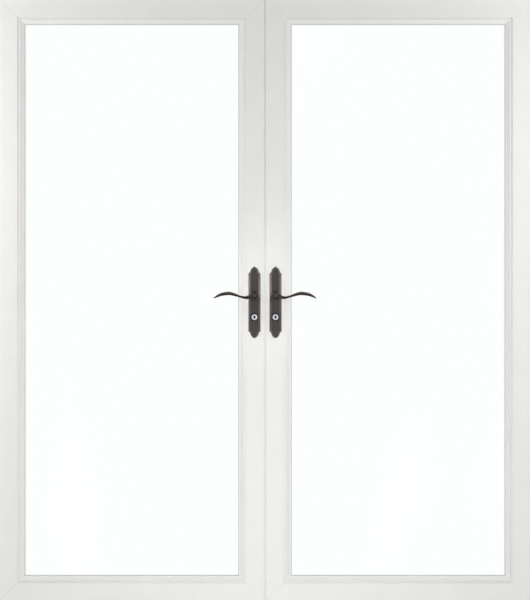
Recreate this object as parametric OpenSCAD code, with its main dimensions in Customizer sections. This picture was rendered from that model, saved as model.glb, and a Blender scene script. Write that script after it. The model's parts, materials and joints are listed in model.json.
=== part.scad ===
// French doors: two glazed vinyl leaves with mitred corners in a vinyl frame, opening inwards.
// The outside face looks along -Y, +Z is up, and the origin is the middle of the sill's underside.
// Everything is drawn for the left leaf and mirrored for the right one.

/* [Leaves] */
// Width of one leaf's outside face
leaf_w = 879; // [700:1:1000]
// Height of a leaf's outside face
leaf_h = 2000; // [1800:1:2400]
// Gap between the two leaves where they meet
meeting_gap = 6; // [5:0.5:8]
// Gap between a leaf's edge and the frame
frame_gap = 5; // [4:0.5:8]
// Height of the lever's axis above the middle of the leaf
lever_rise = 15; // [-60:1:60]

/* [Leaf profile] */
// Depth of a leaf from its outside face to its inside face
leaf_d = 62; // [58:1:76]
// Width of a stile or rail from the leaf's edge to the glass
member_w = 83; // [78:1:100]
// How far the inside flange laps past the leaf's edge
flange_w = 16; // [13:1:22]
// Thickness of the inside flange
flange_t = 15; // [13:1:18]
// Thickness of the lip behind the glass
lip_t = 16; // [12:1:18]
// How far the lip behind the glass stays short of the bead in front
lip_back = 3; // [0:0.5:6]
// Wall of the vinyl extrusions
wall = 3; // [2.5:0.1:3.5]
// Rounding of the outside edges
edge_r = 2; // [1:0.5:2.5]
// Width of the groove that cleaning leaves along a welded mitre
weld_w = 1.6; // [0.8:0.1:2.4]
// Width of the hardware groove along the meeting edge
groove_w = 20; // [18:0.5:22]
// Depth of the hardware groove
groove_t = 3; // [2.5:0.1:4]

/* [Glazing] */
// Width of the outside glazing bead
bead_w = 23; // [20:0.5:26]
// Width of the quirk, the groove beside the leaf's flat face
quirk_w = 6; // [4:0.5:8]
// Depth of the quirk below the leaf's face
quirk_d = 7.5; // [4:0.5:8]
// Radius of the bead's rounded ridge
ridge_r = 2; // [1.5:0.25:3]
// How far the ridge lies behind the leaf's face
ridge_set = 1; // [0.5:0.25:2]
// Thickness of the bead's edge against the glass
bead_lip = 3; // [2:0.5:4]
// Width of the flat along that edge
bead_flat = 3; // [2:0.5:5]
// Hairline left open at the beads' mitred corners
bead_joint = 0.4; // [0.2:0.1:0.8]
// Thickness of one pane
pane_t = 4; // [3:0.5:5]
// Space between the panes
pane_gap = 16; // [12:1:18]
// How far the panes' edges lie behind the bead
pane_bite = 17; // [15:0.5:19]
// Thickness of the gaskets on both sides of the glass
gasket_t = 4; // [3:0.5:5]
// Width of the gaskets
gasket_w = 8; // [5:0.5:10]
// Width of the spacer bar between the panes
spacer_w = 8; // [6:0.5:10]
// Length of a setting block under the glass
block_l = 100; // [60:5:150]
// Distance of a setting block from the corner of the glass
block_inset = 120; // [80:5:200]
// Thickness of the soft lip that closes the gap where the leaves meet
meeting_lip_t = 3; // [2:0.25:4]
// How far that lip lies behind the leaves' outside faces
meeting_lip_set = 3.5; // [2.5:0.25:6]

/* [Frame] */
// Depth of the frame from outside to inside
frame_d = 64; // [58:1:90]
// Width of the frame's face
frame_face = 40; // [34:1:60]
// Height of the sill
sill_h = 30; // [28:1:45]
// How far the sill's nose stands out past the frame
sill_nose = 20; // [10:1:40]
// Height of the sill's nose
sill_nose_h = 16; // [12:1:24]
// Room for the seal between the frame and the flange
seal_room = 3; // [2:0.5:4]
// Width of that seal
seal_w = 6; // [4:0.5:7]
// Diameter of the fixing holes through the jambs
fixing_d = 8.2; // [6:0.1:10]
// Distance of the fixing holes from the frame's top and bottom
fixing_inset = 300; // [200:10:450]

/* [Hinges] */
// Height of a hinge
hinge_h = 100; // [80:2:140]
// Distance from the leaf's top or bottom to the middle of the nearest hinge
hinge_inset = 200; // [150:5:300]
// Diameter of the knuckles
knuckle_d = 18; // [15:0.5:20]
// Gap between the knuckles and the flange's edge, and between the knuckles
knuckle_gap = 1.5; // [1:0.25:2.5]
// Share of the hinge's height that the leaf's knuckle takes
knuckle_share = 0.4; // [0.3:0.05:0.5]
// Diameter of the hinge pins
pin_d = 8; // [6:0.5:10]
// Thickness of the hinge plates
hinge_t = 4; // [3:0.5:5]
// Width of the hinge plate on the leaf
hinge_leaf_w = 44; // [30:1:60]
// Rounding of the hinge plate's free corners
hinge_corner_r = 8; // [4:1:14]
// Width of the foot that carries a knuckle on the frame
hinge_foot_w = 12; // [8:1:14]

/* [Lock] */
// Distance of the lever and the cylinder from the meeting edge
backset = 32; // [30:0.5:38]
// Distance of the cylinder's axis below the lever's axis
cylinder_drop = 72; // [68:1:92]
// Length of the lock case above the lever's axis and below the cylinder's axis
case_over = 50; // [45:1:60]
// Depth of the lock case from the hardware groove
case_l = 51; // [48:0.5:52]
// Thickness of the lock case
case_t = 15; // [14:0.5:17]
// Thickness of the face plate in the hardware groove
face_plate_t = 2.5; // [2:0.1:2.5]
// How far the face plate stops short of the leaf's top and bottom
face_plate_inset = 20; // [15:1:60]
// Diameter of the shoot bolts
bolt_d = 10; // [8:0.5:12]
// Distance of the shoot bolts from the meeting edge
bolt_set = 13; // [12.5:0.25:14]
// Travel of the shoot bolts
bolt_throw = 20; // [16:1:22]
// How far a shoot bolt reaches into the lock case
bolt_grip = 36; // [30:1:38]
// Height of the deadbolt
deadbolt_h = 34; // [24:1:36]
// Thickness of the deadbolt
deadbolt_t = 11; // [8:0.5:12]
// Length of the deadbolt
deadbolt_l = 40; // [34:1:44]
// Width of the keep plates in the frame
keep_w = 24; // [20:1:26]
// Length of the keep plates across the frame
keep_l = 25; // [20:1:26]
// Thickness of the keep plates
keep_t = 2; // [1.5:0.1:2.5]
// Rounding of the keep plates' corners
keep_r = 4; // [2:0.5:6]
// Room round a shoot bolt in its keep
keep_room = 2; // [1:0.25:3]

/* [Escutcheon] */
// Width of the plate
plate_w = 40; // [34:1:46]
// Height of the plate from tip to tip
plate_h = 238; // [210:1:280]
// Thickness of the plate
plate_t = 9; // [7:0.5:12]
// Thickness of the plate at its edge
plate_edge_t = 3; // [2:0.25:5]
// Width of the bevel along the plate's sides
bevel_w = 7; // [4:0.25:9]
// Distance of the plate's middle below the lever's axis
plate_drop = 23; // [18:0.5:36]
// Height of the arch at each end of the plate
arch_h = 19.5; // [14:0.5:26]
// Width of the shoulder at the foot of the arch
shoulder_w = 4.8; // [3:0.2:6]
// Height of that shoulder
shoulder_h = 3; // [2:0.2:5]
// Radius of the nub at the plate's upper tip
nub_r = 5; // [3:0.2:6]
// Outside diameter of the collars round the lever's neck and the cylinder
collar_d = 28; // [25:0.5:30]
// How far the collars stand out of the plate
collar_t = 3; // [2:0.25:5]

/* [Lever] */
// Reach of the lever from its axis to its tip
lever_reach = 136; // [115:1:150]
// Distance of the lever's middle from the leaf's face
lever_out = 46; // [42:0.5:60]
// Diameter of the lever's neck
neck_d = 18; // [16:0.5:20]
// Diameter of the ball where neck and lever meet
ball_d = 27; // [22:0.5:28]
// Side of the square spindle
spindle_s = 8; // [7:0.25:9]
// How far the spindle reaches into each lever, counted from the leaf's face
spindle_out = 26; // [20:1:30]

/* [Cylinder] */
// Diameter of the lock cylinder
cylinder_d = 19.5; // [17:0.25:21]
// Diameter of the plug that the key turns
plug_d = 13; // [11:0.25:14]
// How far the cylinder's faces stand out of the leaf
cylinder_out = 12.5; // [10:0.25:14]
// Width of the keyway
keyway_w = 2.6; // [2:0.1:3.4]
// Height of the keyway
keyway_h = 8.6; // [7:0.1:9.5]
// Depth of the keyway
keyway_l = 28; // [20:1:32]
// Width of the wider mouth round the keyway on every side
mouth_w = 1.2; // [0.6:0.1:1.6]
// Depth of that mouth
mouth_t = 1.5; // [0.5:0.25:3]
// Length of the thumbturn's wing
wing_l = 32; // [26:1:38]
// Thickness of the thumbturn's wing
wing_t = 8; // [6:0.5:10]
// How far the thumbturn stands out of the cylinder
wing_out = 18; // [14:1:24]

/* [Fits] */
// Radial clearance of a running fit
running = 0.05; // [0.02:0.01:0.1]
// Clearance of sliding pieces and of pieces let into a pocket
sliding = 0.3; // [0.25:0.05:0.5]

/* [Hidden] */
$fn = 48;
eps = 1;
pair_half = leaf_w + meeting_gap / 2;
frame_in_x = pair_half + frame_gap;
frame_out_x = frame_in_x + frame_face;
leaf_z = sill_h + frame_gap;
leaf_top_z = leaf_z + leaf_h;
frame_in_z = leaf_top_z + frame_gap;
frame_out_z = frame_in_z + frame_face;
frame_inside_y = frame_d / 2;

// Depths inside a leaf, counted from its outside face
flange_depth = leaf_d - flange_t;
lip_depth = leaf_d - lip_t;
unit_t = 2 * pane_t + pane_gap;
unit_depth = lip_depth - gasket_t - unit_t;
bead_depth = unit_depth - gasket_t;
front_web = bead_depth;
lock_depth = (front_web + wall + flange_depth - wall) / 2;
seat_u = member_w - bead_w;
pane_u = member_w - pane_bite;
leaf_y = frame_inside_y + seal_room - flange_depth;
lock_y = leaf_y + lock_depth;
leaf_inside_y = leaf_y + leaf_d;

hinge_edge_x = -pair_half;
meeting_edge_x = -meeting_gap / 2;
lever_x = meeting_edge_x - backset;
lever_z = leaf_z + leaf_h / 2 + lever_rise;
cylinder_z = lever_z - cylinder_drop;
plate_z = lever_z - plate_drop;
bolt_x = meeting_edge_x - bolt_set;
case_top_z = lever_z + case_over;
case_bottom_z = cylinder_z - case_over;
deadbolt_z = lever_z - cylinder_drop / 2;

knuckle_r = knuckle_d / 2;
hinge_axis_x = hinge_edge_x - flange_w - knuckle_gap - knuckle_r;
hinge_axis_y = leaf_inside_y;
hinge_zs = [leaf_z + hinge_inset, leaf_z + leaf_h / 2, leaf_top_z - hinge_inset];
leaf_knuckle_h = hinge_h * knuckle_share;

// The lever's course: share of its reach, rise, half height, half depth, drop towards the leaf
lever_course = [
    [0.00, -1, 10.5, 6.5, 0], [0.13, -3, 10, 6.5, 0], [0.225, -8, 4.6, 5.5, 0],
    [0.36, -3.5, 4, 5, 0], [0.62, 8, 5.4, 5, 0], [0.80, 6, 5.6, 4.5, 1],
    [0.92, -1, 4, 3.2, 3], [1.00, -8, 0.8, 1, 4]];
lever_steps = 4;
lever_sides = 16;

vinyl = "#eeeeeb";
bronze = "#4b4948";
dark_bronze = "#2f2c2b";
steel = "#b9bcc0";
chrome = "#d8dde3";
glass = [0.85, 0.92, 0.92, 0.35];
grey_rubber = "#8d8f8f";
black_rubber = "#2b2b2b";

leaf_nodes = ["hinge_stile", "meeting_stile", "top_rail", "bottom_rail", "glazing_beads", "outer_pane",
    "inner_pane", "glass_spacer", "glazing_gaskets", "setting_blocks", "outer_escutcheon",
    "inner_escutcheon", "lock_case", "lock_face_plate", "lock_cylinder", "hinge_leaf_plates",
    "outer_lever", "inner_lever", "spindle", "cylinder_plug", "thumbturn", "upper_bolt", "lower_bolt"];

// Small helpers

module right_side() mirror([1, 0, 0]) children();

// What is left outside a rounded corner at the origin, for a corner that opens to +X and +Y
module corner_waste(r) {
    difference() {
        translate([-eps, -eps]) square(r + eps);
        translate([r, r]) circle(r);
        translate([0, r]) square(r);
        translate([r, 0]) square(r);
    }
}

// A rectangle about the origin with rounded corners
module rounded_rectangle(w, h, r) {
    square([w - 2 * r, h], center = true);
    square([w, h - 2 * r], center = true);
    for (x = [-1, 1], y = [-1, 1]) translate([x * (w / 2 - r), y * (h / 2 - r)]) circle(r);
}

// A shallow V groove on the face at y, along the line between two points in X and Z
module weld_groove(start, end, y) {
    run = end - start;
    side = weld_w / sqrt(2);
    translate([start[0], y, start[1]])
        rotate([0, -atan2(run[1], run[0]), 0]) rotate([45, 0, 0])
            translate([-eps, -side / 2, -side / 2]) cube([norm(run) + eps, side, side]);
}

// A prism through the leaf's whole depth over an outline in X and Z
module through_leaf(outline) {
    translate([0, leaf_inside_y + eps, 0])
        rotate([90, 0, 0])
            linear_extrude(leaf_d + 2 * eps) polygon(outline);
}

// Lay a section along the hinge stile, the meeting stile, the top rail or the bottom rail
module along_hinge_stile() {
    translate([hinge_edge_x, leaf_y, leaf_z - flange_w])
        linear_extrude(leaf_h + 2 * flange_w) children();
}
module along_meeting_stile() {
    translate([meeting_edge_x, leaf_y, leaf_z])
        mirror([1, 0, 0]) linear_extrude(leaf_h) children();
}
module along_top_rail() {
    translate([hinge_edge_x - flange_w, leaf_y, leaf_top_z])
        rotate([0, 90, 0]) linear_extrude(leaf_w + flange_w) children();
}
module along_bottom_rail() {
    translate([hinge_edge_x - flange_w, leaf_y, leaf_z])
        mirror([0, 0, 1]) rotate([0, 90, 0]) linear_extrude(leaf_w + flange_w) children();
}

// Corners of the leaf's outline, moved in by u from each edge
function low_out(u) = [hinge_edge_x + u, leaf_z + u];
function high_out(u) = [hinge_edge_x + u, leaf_top_z - u];
function low_mid(u) = [meeting_edge_x - u, leaf_z + u];
function high_mid(u) = [meeting_edge_x - u, leaf_top_z - u];

// Draw on the outside or inside face, with the axis at [x, z] and +Z pointing out of the leaf
module on_outside(x, z) {
    translate([x, leaf_y, z]) rotate([90, 0, 0]) children();
}
module on_inside(x, z) {
    translate([x, leaf_inside_y, z]) mirror([0, 1, 0]) rotate([90, 0, 0]) children();
}

// A round hole straight through the leaf
module bore_through_leaf(z, d) {
    translate([lever_x, leaf_y - eps, z]) rotate([-90, 0, 0]) cylinder(d = d, h = leaf_d + 2 * eps);
}

// A flat ring round the leaf between two distances from its edge and two depths
module leaf_ring(u_out, u_in, depth_front, depth_back) {
    difference() {
        leaf_slab(u_out, depth_front, depth_back);
        leaf_slab(u_in, depth_front - eps, depth_back + eps);
    }
}
module leaf_slab(u, depth_front, depth_back) {
    translate([hinge_edge_x + u, leaf_y + depth_front, leaf_z + u])
        cube([leaf_w - 2 * u, depth_back - depth_front, leaf_h - 2 * u]);
}

// Leaf members

// Section of a stile or rail: x runs from the leaf's edge to the glass, y from outside to inside
module member_section(flange) {
    difference() {
        polygon(concat(
            [[0, 0], [seat_u, 0], [seat_u, lip_depth], [member_w - lip_back, lip_depth],
             [member_w - lip_back, lip_depth + lip_t / 3], [member_w - lip_back - lip_t / 2, leaf_d],
             [-flange, leaf_d]],
            flange > 0 ? [[-flange, flange_depth], [0, flange_depth]] : []));
        corner_waste(edge_r);
        translate([seat_u, 0]) mirror([1, 0]) corner_waste(edge_r);
        // Front chamber behind the face
        translate([wall, wall]) square([seat_u - 2 * wall, front_web - wall]);
        // Inside chamber behind the flange and the lip
        polygon([
            [wall - flange, flange_depth + wall], [seat_u, flange_depth + wall],
            [member_w - lip_back - lip_t / 2 - wall, leaf_d - wall], [wall - flange, leaf_d - wall]]);
    }
}
module edge_section() {
    difference() {
        member_section(flange_w);
        translate([wall, front_web + wall])
            square([seat_u - 2 * wall, flange_depth - front_web - 2 * wall]);
    }
}
module meeting_section() {
    difference() {
        member_section(0);
        translate([groove_t + wall, front_web + wall])
            square([seat_u - groove_t - 2 * wall, flange_depth - front_web - 2 * wall]);
        translate([-eps, lock_depth - groove_w / 2]) square([groove_t + eps, groove_w]);
    }
}

// Grooves along the leaf's mitres, on its outside and inside faces
module leaf_welds() {
    inside_u = member_w - lip_back - lip_t / 2;
    weld_groove(low_out(0), low_out(seat_u), leaf_y);
    weld_groove(high_out(0), high_out(seat_u), leaf_y);
    weld_groove(low_mid(0), low_mid(seat_u), leaf_y);
    weld_groove(high_mid(0), high_mid(seat_u), leaf_y);
    weld_groove(low_out(-flange_w), low_out(inside_u), leaf_inside_y);
    weld_groove(high_out(-flange_w), high_out(inside_u), leaf_inside_y);
    weld_groove(low_mid(0), low_mid(inside_u), leaf_inside_y);
    weld_groove(high_mid(0), high_mid(inside_u), leaf_inside_y);
}
module hinge_stile() {
    color(vinyl) difference() {
        intersection() {
            along_hinge_stile() edge_section();
            through_leaf([low_out(-flange_w), low_out(member_w), high_out(member_w), high_out(-flange_w)]);
        }
        leaf_welds();
    }
}
module meeting_stile() {
    color(vinyl) difference() {
        intersection() {
            along_meeting_stile() meeting_section();
            through_leaf([low_mid(0), high_mid(0), high_mid(member_w), low_mid(member_w)]);
        }
        // Pocket for the lock case
        translate([meeting_edge_x - groove_t - case_l - sliding, lock_y - case_t / 2 - sliding,
                   case_bottom_z - sliding])
            cube([groove_t + case_l + sliding + eps, case_t + 2 * sliding,
                  case_top_z - case_bottom_z + 2 * sliding]);
        bore_through_leaf(lever_z, neck_d);
        bore_through_leaf(cylinder_z, cylinder_d + 2 * sliding);
        leaf_welds();
    }
}
module bolt_way(z) {
    translate([bolt_x, lock_y, z - wall - eps])
        cylinder(d = bolt_d + 2 * sliding, h = 2 * (wall + eps));
}
module top_rail() {
    color(vinyl) difference() {
        intersection() {
            along_top_rail() edge_section();
            through_leaf([high_out(-flange_w), [meeting_edge_x, leaf_top_z + flange_w], high_mid(0),
                          high_mid(member_w), high_out(member_w)]);
        }
        bolt_way(leaf_top_z);
        leaf_welds();
    }
}
module bottom_rail() {
    color(vinyl) difference() {
        intersection() {
            along_bottom_rail() edge_section();
            through_leaf([low_out(-flange_w), [meeting_edge_x, leaf_z - flange_w], low_mid(0),
                          low_mid(member_w), low_out(member_w)]);
        }
        bolt_way(leaf_z);
        leaf_welds();
    }
}

// Glazing

// Section of the bead: a quirk beside the face, a rounded ridge, and a slope down to a flat edge
module bead_section() {
    ridge_u = seat_u + quirk_w + ridge_r;
    ridge_depth = ridge_set + ridge_r;
    translate([ridge_u, ridge_depth]) circle(ridge_r);
    polygon([
        [seat_u, bead_depth], [seat_u, quirk_d], [ridge_u - ridge_r, quirk_d],
        [ridge_u - ridge_r, ridge_depth], [ridge_u + ridge_r, ridge_depth],
        [member_w - bead_flat, bead_depth - bead_lip], [member_w, bead_depth - bead_lip],
        [member_w, bead_depth]]);
}
module glazing_beads() {
    joint = [0, bead_joint];
    color(vinyl) {
        intersection() {
            along_hinge_stile() bead_section();
            through_leaf([low_out(seat_u) + joint, low_out(member_w) + joint,
                          high_out(member_w) - joint, high_out(seat_u) - joint]);
        }
        intersection() {
            along_meeting_stile() bead_section();
            through_leaf([low_mid(seat_u) + joint, high_mid(seat_u) - joint,
                          high_mid(member_w) - joint, low_mid(member_w) + joint]);
        }
        intersection() {
            along_top_rail() bead_section();
            through_leaf([high_out(seat_u), high_mid(seat_u), high_mid(member_w), high_out(member_w)]);
        }
        intersection() {
            along_bottom_rail() bead_section();
            through_leaf([low_out(seat_u), low_mid(seat_u), low_mid(member_w), low_out(member_w)]);
        }
    }
}
module outer_pane() color(glass) leaf_slab(pane_u, unit_depth, unit_depth + pane_t);
module inner_pane() color(glass) leaf_slab(pane_u, unit_depth + unit_t - pane_t, unit_depth + unit_t);
module glass_spacer() {
    color(steel)
        leaf_ring(pane_u + pane_t, pane_u + pane_t + spacer_w, unit_depth + pane_t,
                  unit_depth + pane_t + pane_gap);
}
module glazing_gaskets() {
    color(grey_rubber) {
        leaf_ring(member_w - gasket_w, member_w, bead_depth, unit_depth);
        leaf_ring(member_w - lip_back - gasket_w, member_w - lip_back, unit_depth + unit_t, lip_depth);
    }
}
module setting_blocks() {
    color(black_rubber)
        for (x = [hinge_edge_x + pane_u + block_inset,
                  meeting_edge_x - pane_u - block_inset - block_l])
            translate([x, leaf_y + unit_depth, leaf_z + seat_u])
                cube([block_l, unit_t, pane_u - seat_u]);
}
// A soft lip with a rounded nose, on the left leaf's meeting edge
module left_meeting_seal() {
    nose_r = meeting_lip_t / 2;
    reach = meeting_gap - sliding;
    color(vinyl)
        translate([meeting_edge_x, leaf_y + meeting_lip_set + nose_r, leaf_z])
            linear_extrude(leaf_h) {
                translate([0, -nose_r]) square([reach - nose_r, meeting_lip_t]);
                translate([reach - nose_r, 0]) circle(nose_r);
            }
}

// Lock

module lock_case() {
    color(steel) difference() {
        translate([meeting_edge_x - groove_t - case_l, lock_y - case_t / 2, case_bottom_z])
            cube([case_l, case_t, case_top_z - case_bottom_z]);
        bore_through_leaf(lever_z, spindle_s * sqrt(2) + 2 * sliding);
        bore_through_leaf(cylinder_z, cylinder_d + 2 * sliding);
        deadbolt_slot();
        for (z = [case_top_z - bolt_grip - sliding, case_bottom_z - bolt_throw])
            translate([bolt_x, lock_y, z])
                cylinder(d = bolt_d + 2 * sliding, h = bolt_grip + sliding + bolt_throw);
    }
}
// Room for the deadbolt in the case and in the face plate, the same in both leaves
module deadbolt_slot() {
    translate([meeting_edge_x - deadbolt_l - sliding, lock_y - deadbolt_t / 2 - sliding,
               deadbolt_z - deadbolt_h / 2 - sliding])
        cube([deadbolt_l + sliding + eps, deadbolt_t + 2 * sliding, deadbolt_h + 2 * sliding]);
}
module right_deadbolt() {
    color(steel) right_side()
        translate([meeting_edge_x - deadbolt_l, lock_y - deadbolt_t / 2, deadbolt_z - deadbolt_h / 2])
            cube([deadbolt_l, deadbolt_t, deadbolt_h]);
}
module lock_face_plate() {
    color(steel) difference() {
        translate([meeting_edge_x - groove_t, lock_y, leaf_z + leaf_h / 2]) rotate([90, 0, 90])
            linear_extrude(face_plate_t)
                rounded_rectangle(groove_w, leaf_h - 2 * face_plate_inset, groove_w / 2 - sliding);
        deadbolt_slot();
    }
}
// A shoot bolt that stands on its inner end at the origin, with a bevelled nose
module shoot_bolt(l) {
    nose = bolt_d / 4;
    rotate_extrude()
        polygon([[0, 0], [bolt_d / 2, 0], [bolt_d / 2, l - nose], [bolt_d / 2 - nose, l], [0, l]]);
}
module upper_bolt() {
    color(steel) translate([bolt_x, lock_y, case_top_z - bolt_grip])
        shoot_bolt(leaf_top_z - case_top_z + bolt_grip - sliding);
}
module lower_bolt() {
    color(steel) translate([bolt_x, lock_y, case_bottom_z + bolt_grip])
        mirror([0, 0, 1]) shoot_bolt(case_bottom_z + bolt_grip - leaf_z - sliding);
}

// Escutcheon, lever and cylinder

function bezier(a, b, c, d, t) =
    a * pow(1 - t, 3) + 3 * b * t * pow(1 - t, 2) + 3 * c * t * t * (1 - t) + d * pow(t, 3);

// Half of the outline of one end of the plate: the shoulder, the arch, and a nub where it has one.
// The arch leaves its foot towards lift and comes from lean to its stop at the nub or the tip.
nub_from = 25;
function on_nub(a) = [nub_r * cos(a), plate_h / 2 - nub_r + nub_r * sin(a)];
function plate_end(with_nub) =
    let (tip = plate_h / 2, foot = tip - arch_h, side = plate_w / 2, arch = side - shoulder_w,
         lift = [arch * 0.87, foot + arch_h * 0.35],
         lean = with_nub ? [arch * 0.8, tip - arch_h * 0.33] : [arch * 0.72, tip - arch_h * 0.13],
         stop = with_nub ? on_nub(nub_from) : [0, tip])
    concat([[side, foot - shoulder_h]],
           [for (i = [0 : 7]) bezier([arch, foot], lift, lean, stop, i / 8)],
           with_nub ? [for (a = [nub_from : 15 : 85]) on_nub(a)] : [],
           [[0, tip]]);
function reversed(points) = [for (i = [len(points) - 1 : -1 : 0]) points[i]];
function both_halves(end) = concat(end, [for (p = reversed(end)) if (p[0] > 0) [-p[0], p[1]]]);
// The plate's whole outline, at a share of its width and height
function plate_outline(share_w, share_h) =
    let (upper = both_halves(plate_end(true)), lower = both_halves(plate_end(false)))
    [for (p = concat(upper, [for (p = reversed(lower)) [p[0], -p[1]]]))
        [p[0] * share_w, p[1] * share_h - plate_drop]];
function raised(points, z) = [for (p = points) [p[0], p[1], z]];

// A closed solid through rings of as many points each, counter-clockwise seen from the last ring
module loft(rings) {
    n = len(rings[0]);
    last = (len(rings) - 1) * n;
    sides = [for (a = [0 : n : last - n]) for (j = [0 : n - 1])
        let (next = (j + 1) % n, b = a + n)
            each [[a + j, b + j, a + next], [a + next, b + j, b + next]]];
    polyhedron([for (ring = rings) each ring],
               concat(sides, [[for (j = [0 : n - 1]) j], [for (j = [n - 1 : -1 : 0]) last + j]]));
}
module escutcheon() {
    bevel_share = 1 - 2 * bevel_w / plate_w;
    tip_share = 1 - bevel_w / plate_h;
    color(bronze) difference() {
        union() {
            loft([raised(plate_outline(1, 1), 0), raised(plate_outline(1, 1), plate_edge_t),
                  raised(plate_outline(bevel_share, tip_share), plate_t)]);
            for (y = [0, -cylinder_drop])
                translate([0, y, plate_edge_t])
                    cylinder(d = collar_d, h = plate_t - plate_edge_t + collar_t);
        }
        translate([0, 0, -eps]) cylinder(d = neck_d + 2 * running, h = plate_t + collar_t + 2 * eps);
        translate([0, -cylinder_drop, -eps])
            cylinder(d = cylinder_d + 2 * sliding, h = plate_t + collar_t + 2 * eps);
    }
}
module outer_escutcheon() on_outside(lever_x, lever_z) escutcheon();
module inner_escutcheon() on_inside(lever_x, lever_z) escutcheon();

// The lever's course as a smooth curve through its stations
function spline(a, b, c, d, t) =
    0.5 * (2 * b + (c - a) * t + (2 * a - 5 * b + 4 * c - d) * t * t
           + (3 * b - a - 3 * c + d) * t * t * t);
function station(i) = lever_course[max(0, min(len(lever_course) - 1, i))];
function lever_station(k) =
    let (i = floor(k / lever_steps), t = k / lever_steps - i)
    spline(station(i - 1), station(i), station(i + 1), station(i + 2), t);
lever_rings = (len(lever_course) - 1) * lever_steps + 1;
module lever_grip() {
    loft([for (k = [0 : lever_rings - 1]) let (s = lever_station(k))
        [for (j = [0 : lever_sides - 1]) let (a = 360 * j / lever_sides)
            [-s[0] * lever_reach, s[1] + s[2] * sin(a), lever_out - s[4] + s[3] * cos(a)]]]);
}
module lever() {
    color(dark_bronze) difference() {
        union() {
            cylinder(d = neck_d, h = lever_out);
            translate([0, 0, plate_t + collar_t + sliding]) cylinder(d = ball_d - 2, h = 4);
            translate([0, 0, lever_out]) sphere(d = ball_d);
            lever_grip();
        }
        translate([-spindle_s / 2, -spindle_s / 2, -eps]) cube([spindle_s, spindle_s, spindle_out + eps]);
    }
}
module outer_lever() on_outside(lever_x, lever_z) lever();
module inner_lever() on_inside(lever_x, lever_z) lever();
module spindle() {
    color(steel) translate([lever_x - spindle_s / 2, leaf_y - spindle_out, lever_z - spindle_s / 2])
        cube([spindle_s, leaf_d + 2 * spindle_out, spindle_s]);
}
module lock_cylinder() {
    color(chrome) translate([lever_x, leaf_y - cylinder_out, cylinder_z]) rotate([-90, 0, 0])
        difference() {
            cylinder(d = cylinder_d, h = leaf_d + 2 * cylinder_out);
            translate([0, 0, -eps])
                cylinder(d = plug_d + 2 * running, h = leaf_d + 2 * cylinder_out + 2 * eps);
        }
}
// A slot into the plug's outside face, wider than the key by a margin
module keyway(margin, depth) {
    translate([lever_x - keyway_w / 2 - margin, leaf_y - cylinder_out - eps,
               cylinder_z - keyway_h / 2 - margin])
        cube([keyway_w + 2 * margin, depth + eps, keyway_h + 2 * margin]);
}
module cylinder_plug() {
    color(chrome) difference() {
        translate([lever_x, leaf_y - cylinder_out, cylinder_z])
            rotate([-90, 0, 0]) cylinder(d = plug_d, h = leaf_d + 2 * cylinder_out + sliding);
        keyway(0, keyway_l);
        keyway(mouth_w, mouth_t);
    }
}
module thumbturn() {
    wing_r = wing_out / 2;
    color(dark_bronze) on_inside(lever_x, cylinder_z) translate([0, 0, cylinder_out + sliding]) {
        cylinder(d = cylinder_d, h = wing_r);
        translate([0, wing_t / 2, wing_r]) rotate([90, 0, 0]) linear_extrude(wing_t) {
            for (x = [-1, 1])
                translate([x * (wing_l / 2 - wing_r), 0]) circle(wing_r);
            translate([wing_r - wing_l / 2, -wing_r]) square([wing_l - 2 * wing_r, 2 * wing_r]);
        }
    }
}

// Hinges

module hinge_leaf_plates() {
    plate_x = hinge_edge_x - flange_w;
    color(vinyl) for (z = hinge_zs) difference() {
        union() {
            translate([plate_x + hinge_leaf_w / 2, hinge_axis_y + hinge_t, z]) rotate([90, 0, 0])
                linear_extrude(hinge_t) rounded_rectangle(hinge_leaf_w, hinge_h, hinge_corner_r);
            translate([hinge_axis_x, hinge_axis_y, z - leaf_knuckle_h / 2])
                cube([plate_x - hinge_axis_x + hinge_corner_r, hinge_t, leaf_knuckle_h]);
            translate([hinge_axis_x, hinge_axis_y, z - leaf_knuckle_h / 2])
                cylinder(d = knuckle_d, h = leaf_knuckle_h);
        }
        hinge_bore(z);
    }
}
module hinge_bore(z) {
    translate([hinge_axis_x, hinge_axis_y, z - hinge_h / 2 - eps])
        cylinder(d = pin_d + 2 * running, h = hinge_h + 2 * eps);
}
module hinge_frame_plates() {
    foot_h = (hinge_h - leaf_knuckle_h) / 2 - knuckle_gap;
    color(vinyl) for (z = hinge_zs) difference() {
        union() {
            translate([hinge_axis_x - knuckle_r, frame_inside_y, z - hinge_h / 2])
                cube([knuckle_d, hinge_t, hinge_h]);
            for (low = [z - hinge_h / 2, z + hinge_h / 2 - foot_h]) {
                translate([hinge_axis_x - hinge_foot_w / 2, frame_inside_y, low])
                    cube([hinge_foot_w, hinge_axis_y - frame_inside_y, foot_h]);
                translate([hinge_axis_x, hinge_axis_y, low]) cylinder(d = knuckle_d, h = foot_h);
            }
        }
        hinge_bore(z);
    }
}
module hinge_pins() {
    color(steel) for (z = hinge_zs) translate([hinge_axis_x, hinge_axis_y, z - hinge_h / 2]) {
        cylinder(d = pin_d, h = hinge_h + hinge_t);
        translate([0, 0, hinge_h]) cylinder(d = pin_d + hinge_t, h = hinge_t);
    }
}

// Frame

// Section of the head and the jambs: x runs outwards from the leaf, y from outside to inside
module frame_section() {
    chamber_d = (frame_d - 4 * wall) / 3;
    difference() {
        translate([0, -frame_d / 2]) square([frame_face, frame_d]);
        translate([0, -frame_d / 2]) corner_waste(edge_r);
        for (i = [0 : 2])
            translate([wall, -frame_d / 2 + wall + i * (chamber_d + wall)])
                square([frame_face - 2 * wall, chamber_d]);
    }
}
// A prism through the frame's whole depth over an outline in X and Z
module through_frame(outline) {
    translate([0, frame_d / 2 + eps, 0])
        rotate([90, 0, 0]) linear_extrude(frame_d + 2 * eps) polygon(outline);
}
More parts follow.
